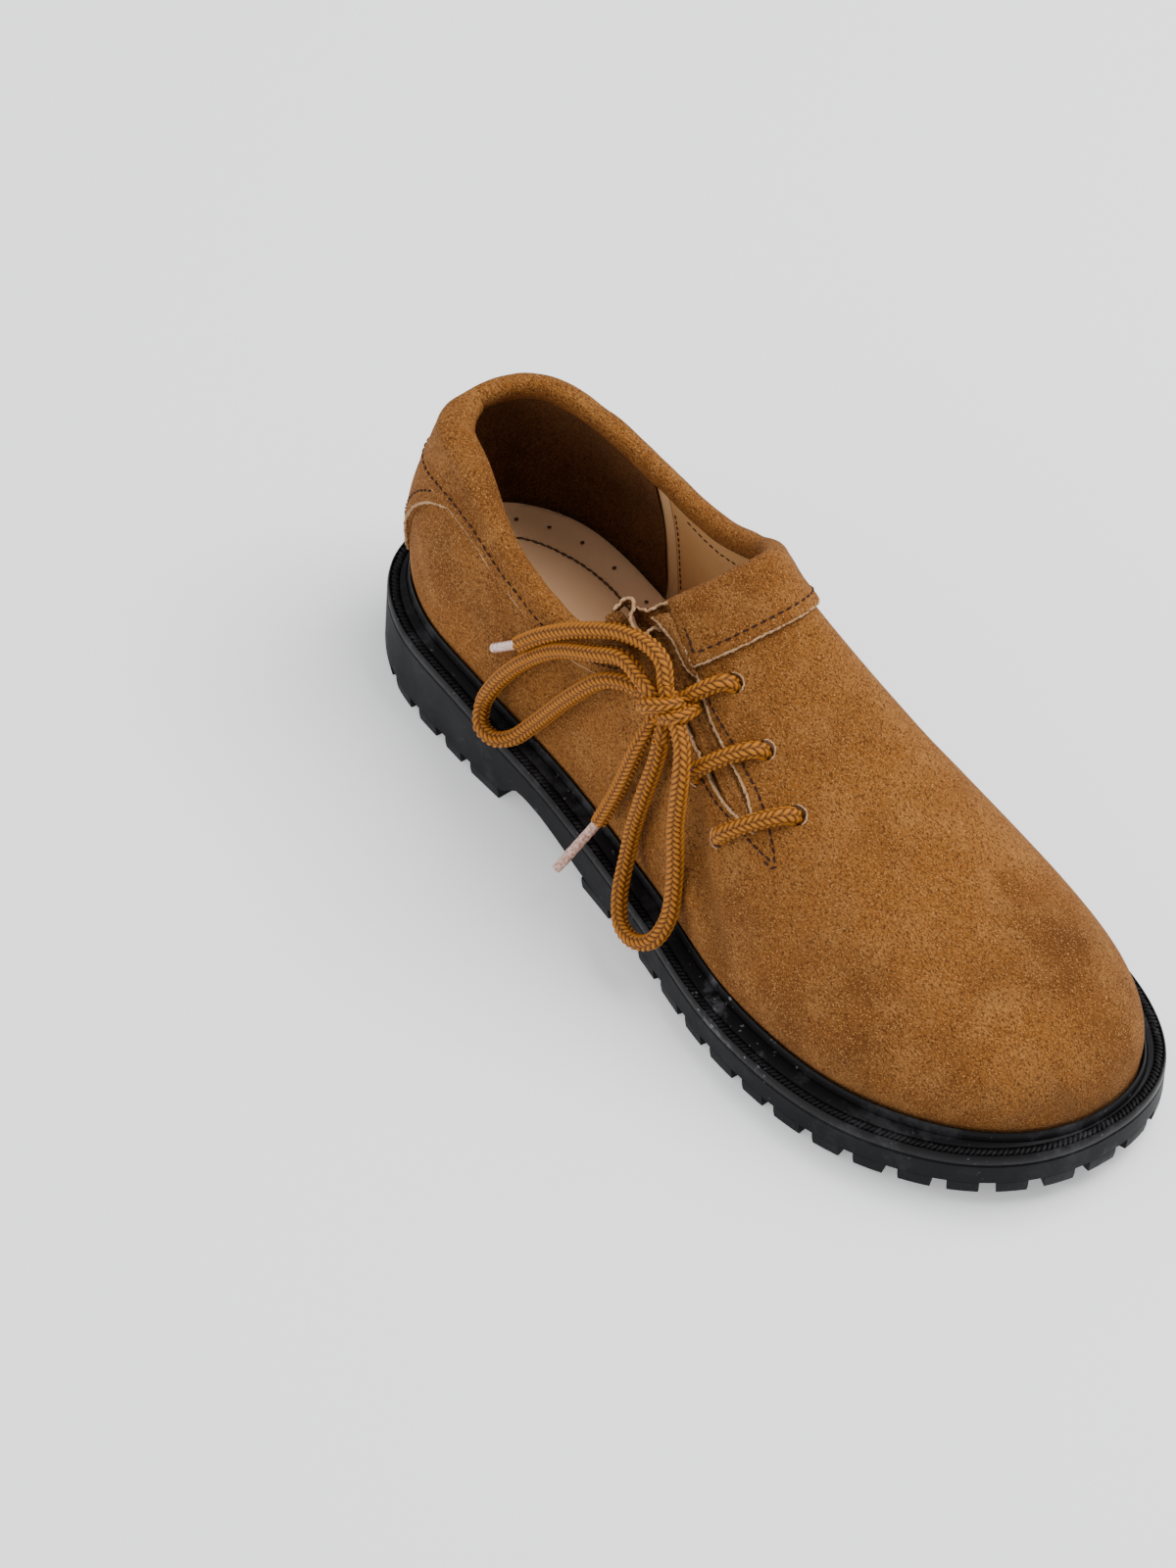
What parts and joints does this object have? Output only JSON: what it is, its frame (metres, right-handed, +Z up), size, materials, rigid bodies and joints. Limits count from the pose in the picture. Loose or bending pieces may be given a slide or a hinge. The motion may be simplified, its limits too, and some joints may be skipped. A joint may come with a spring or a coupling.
{
  "type": "haferl shoe",
  "caption": "Low side-laced suede shoe for the right foot, with a rolled collar, a bow-tied round lace, a full insole and a lugged rubber sole.",
  "frame": {"origin": "middle of the standing pieces' box on the ground plane, under the waist of the sole", "axes": "+X from heel to toe, +Y towards the inner side of the foot, +Z up; the lacing is on the -Y side"},
  "size_m": [0.286, 0.1084, 0.1136],
  "materials": {
    "sole_rubber": "satin moulded rubber",
    "welt_rubber": "satin moulded rubber with a ribbed strip",
    "suede": "brushed suede",
    "insole_leather": "smooth vegetable-tanned leather",
    "lace_cord": "round braided cord",
    "aglet": "clear shrunk film over cord"
  },
  "bodies": {
    "root": {"outsole": "sole_rubber", "welt": "welt_rubber", "insole": "insole_leather", "upper": "suede", "collar": "suede", "back_stay": "suede", "gusset": "suede", "lace_bar_1": "lace_cord", "lace_bar_2": "lace_cord", "lace_bar_3": "lace_cord", "lace_knot": "lace_cord", "lace_loop_heel": "lace_cord", "lace_loop_toe": "lace_cord", "lace_end_heel": "lace_cord", "lace_end_toe": "lace_cord", "aglet_heel": "aglet", "aglet_toe": "aglet"}
  },
  "joints": []
}
